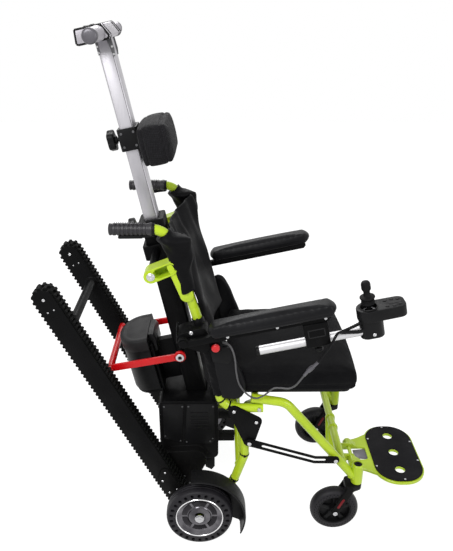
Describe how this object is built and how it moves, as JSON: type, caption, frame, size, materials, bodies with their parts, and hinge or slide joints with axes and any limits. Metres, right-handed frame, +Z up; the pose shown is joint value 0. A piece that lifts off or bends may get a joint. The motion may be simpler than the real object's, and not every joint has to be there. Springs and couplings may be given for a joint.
{
  "type": "stair climbing wheelchair",
  "caption": "Power wheelchair docked to a stair climber: tubular frame, castors, joystick and padded seat, with a leaning column, telescopic handle and toothed crawler tracks behind.",
  "frame": {"origin": "on the floor under the middle of the overall box", "axes": "+X forward to the footplate, +Y to the sitter's left, +Z up"},
  "size_m": [1.2023, 0.608, 1.5014],
  "materials": {
    "lime_steel": "satin",
    "lime_alloy": "satin",
    "black_metal": "satin",
    "black_plastic": "matte",
    "grey_plastic": "satin",
    "black_rubber": "matte",
    "track_rubber": "matte",
    "tyre_rubber": "matte",
    "black_cloth": "matte",
    "bare_alloy": "satin",
    "polished_hub": "polished",
    "shaft_steel": "satin",
    "red_paint": "gloss",
    "red_plastic": "gloss",
    "grey_cable": "matte"
  },
  "bodies": {
    "chair": {"front_frame": "lime_steel", "rear_frame": "lime_steel", "seat_frame": "lime_steel", "back_tube_right": "lime_alloy", "back_tube_left": "lime_alloy", "back_hinge_right": "black_plastic", "back_hinge_left": "black_plastic", "pivot_plate_right": "black_metal", "pivot_plate_left": "black_metal", "strut_link_right": "black_metal", "strut_link_left": "black_metal", "push_grip_right": "black_rubber", "push_grip_left": "black_rubber", "mudguard_right": "black_plastic", "mudguard_left": "black_plastic", "seat_pan": "black_plastic", "seat_cushion": "black_cloth", "back_upholstery": "black_cloth", "column": "black_plastic", "drive_housing": "black_plastic", "battery_pack": "grey_plastic", "dock_bracket": "lime_alloy", "joystick_cable": "grey_cable", "cable_connector": "black_plastic"},
    "tracks": {"track_frame_right": "black_plastic", "track_frame_left": "black_plastic", "track_belt_right": "track_rubber", "track_belt_left": "track_rubber", "track_cross_tube": "black_metal"},
    "drive_shaft": {"drive_shaft": "shaft_steel"},
    "lift_yoke": {"lift_yoke": "red_paint"},
    "mast": {"mast": "bare_alloy", "handle_console": "grey_plastic", "handle_bar": "black_rubber"},
    "climb_switch": {"climb_switch": "black_plastic"},
    "headrest": {"headrest_clamp": "black_metal", "headrest_pad": "black_cloth"},
    "headrest_knob": {"headrest_knob": "black_plastic"},
    "mast_knob": {"mast_knob": "black_plastic"},
    "footrest": {"footplate": "lime_steel", "foot_tread": "black_rubber"},
    "stop_button": {"stop_button": "red_plastic"},
    "joystick_gimbal": {"joystick_gimbal": "bare_alloy"},
    "joystick_stick": {"joystick_stick": "black_rubber"},
    "rear_wheel_right": {"rear_tyre_right": "tyre_rubber", "rear_hub_right": "polished_hub"},
    "castor_fork_right": {"castor_fork_right": "black_metal"},
    "castor_wheel_right": {"castor_wheel_right": "black_rubber"},
    "armrest_right": {"armrest_bar_right": "black_metal", "armrest_pad_right": "black_cloth", "joystick_arm": "bare_alloy", "joystick_housing": "black_plastic"},
    "idler_right": {"idler_wheel_right": "grey_plastic"},
    "rear_wheel_left": {"rear_tyre_left": "tyre_rubber", "rear_hub_left": "polished_hub"},
    "castor_fork_left": {"castor_fork_left": "black_metal"},
    "castor_wheel_left": {"castor_wheel_left": "black_rubber"},
    "armrest_left": {"armrest_bar_left": "black_metal", "armrest_pad_left": "black_cloth"},
    "idler_left": {"idler_wheel_left": "grey_plastic"}
  },
  "joints": [
    {"name": "rear_wheel_spin_right", "type": "hinge", "parent": "chair", "child": "rear_wheel_right", "pos_m": [-0.1458, -0.26, 0.1018], "axis": [0, 1, 0], "continuous": true},
    {"name": "castor_swivel_right", "type": "hinge", "parent": "chair", "child": "castor_fork_right", "pos_m": [0.3422, -0.212, 0.2], "axis": [0, 0, 1], "continuous": true},
    {"name": "castor_spin_right", "type": "hinge", "parent": "castor_fork_right", "child": "castor_wheel_right", "pos_m": [0.2782, -0.212, 0.076], "axis": [0, 1, 0], "continuous": true},
    {"name": "armrest_lift_right", "type": "hinge", "parent": "chair", "child": "armrest_right", "pos_m": [-0.1798, -0.2672, 0.707], "axis": [0, -1, 0], "range_deg": [0, 90]},
    {"name": "rear_wheel_spin_left", "type": "hinge", "parent": "chair", "child": "rear_wheel_left", "pos_m": [-0.1458, 0.26, 0.1018], "axis": [0, 1, 0], "continuous": true},
    {"name": "castor_swivel_left", "type": "hinge", "parent": "chair", "child": "castor_fork_left", "pos_m": [0.3422, 0.212, 0.2], "axis": [0, 0, 1], "continuous": true},
    {"name": "castor_spin_left", "type": "hinge", "parent": "castor_fork_left", "child": "castor_wheel_left", "pos_m": [0.2782, 0.212, 0.076], "axis": [0, 1, 0], "continuous": true},
    {"name": "armrest_lift_left", "type": "hinge", "parent": "chair", "child": "armrest_left", "pos_m": [-0.1798, 0.2672, 0.707], "axis": [0, -1, 0], "range_deg": [0, 90]},
    {"name": "track_fold", "type": "hinge", "parent": "chair", "child": "tracks", "pos_m": [-0.2148, 0, 0.1018], "axis": [0, 1, 0], "range_deg": [0, 10]},
    {"name": "yoke_swing", "type": "hinge", "parent": "chair", "child": "lift_yoke", "pos_m": [-0.20062, 0, 0.57911], "axis": [0, 1, 0], "range_deg": [0, 40.5]},
    {"name": "drive_spin", "type": "hinge", "parent": "chair", "child": "drive_shaft", "pos_m": [-0.2148, 0, 0.1018], "axis": [0, 1, 0], "continuous": true},
    {"name": "idler_spin_right", "type": "hinge", "parent": "tracks", "child": "idler_right", "pos_m": [-0.56531, -0.171, 0.79872], "axis": [0, 1, 0], "continuous": true},
    {"name": "idler_spin_left", "type": "hinge", "parent": "tracks", "child": "idler_left", "pos_m": [-0.56531, 0.171, 0.79872], "axis": [0, 1, 0], "continuous": true},
    {"name": "mast_slide", "type": "slide", "parent": "chair", "child": "mast", "axis": [-0.2061, 0, 0.9785], "range_m": [-0.1, 0]},
    {"name": "climb_switch_rock", "type": "hinge", "parent": "mast", "child": "climb_switch", "pos_m": [-0.4185, 0, 1.49179], "axis": [0, 1, 0], "range_deg": [-8, 8], "stiffness_Nm_per_rad": 0.2},
    {"name": "headrest_slide", "type": "slide", "parent": "mast", "child": "headrest", "axis": [-0.2061, 0, 0.9785], "range_m": [-0.02, 0.1]},
    {"name": "headrest_knob_turn", "type": "hinge", "parent": "headrest", "child": "headrest_knob", "pos_m": [-0.37651, 0, 1.19558], "axis": [0.9785, 0, 0.2061], "continuous": true},
    {"name": "mast_knob_turn", "type": "hinge", "parent": "chair", "child": "mast_knob", "pos_m": [-0.32301, 0, 0.94166], "axis": [0.9785, 0, 0.2061], "continuous": true},
    {"name": "footplate_flip", "type": "hinge", "parent": "chair", "child": "footrest", "pos_m": [0.3662, 0, 0.122], "axis": [0, -1, 0], "range_deg": [0, 85]},
    {"name": "stop_press", "type": "slide", "parent": "chair", "child": "stop_button", "axis": [0, 1, 0], "range_m": [0, 0.004], "stiffness_N_per_m": 600},
    {"name": "joystick_pitch", "type": "hinge", "parent": "armrest_right", "child": "joystick_gimbal", "pos_m": [0.31373, -0.2672, 0.79963], "axis": [0, 1, 0], "range_deg": [-15, 15], "stiffness_Nm_per_rad": 0.8},
    {"name": "joystick_roll", "type": "hinge", "parent": "joystick_gimbal", "child": "joystick_stick", "pos_m": [0.31373, -0.2672, 0.79963], "axis": [0.9781, 0, 0.2079], "range_deg": [-15, 15], "stiffness_Nm_per_rad": 0.8}
  ],
  "couplings": [
    {"joint": "yoke_swing", "follows": "track_fold", "ratio": 4},
    {"joint": "idler_spin_right", "follows": "drive_spin", "ratio": 1},
    {"joint": "idler_spin_left", "follows": "drive_spin", "ratio": 1}
  ]
}
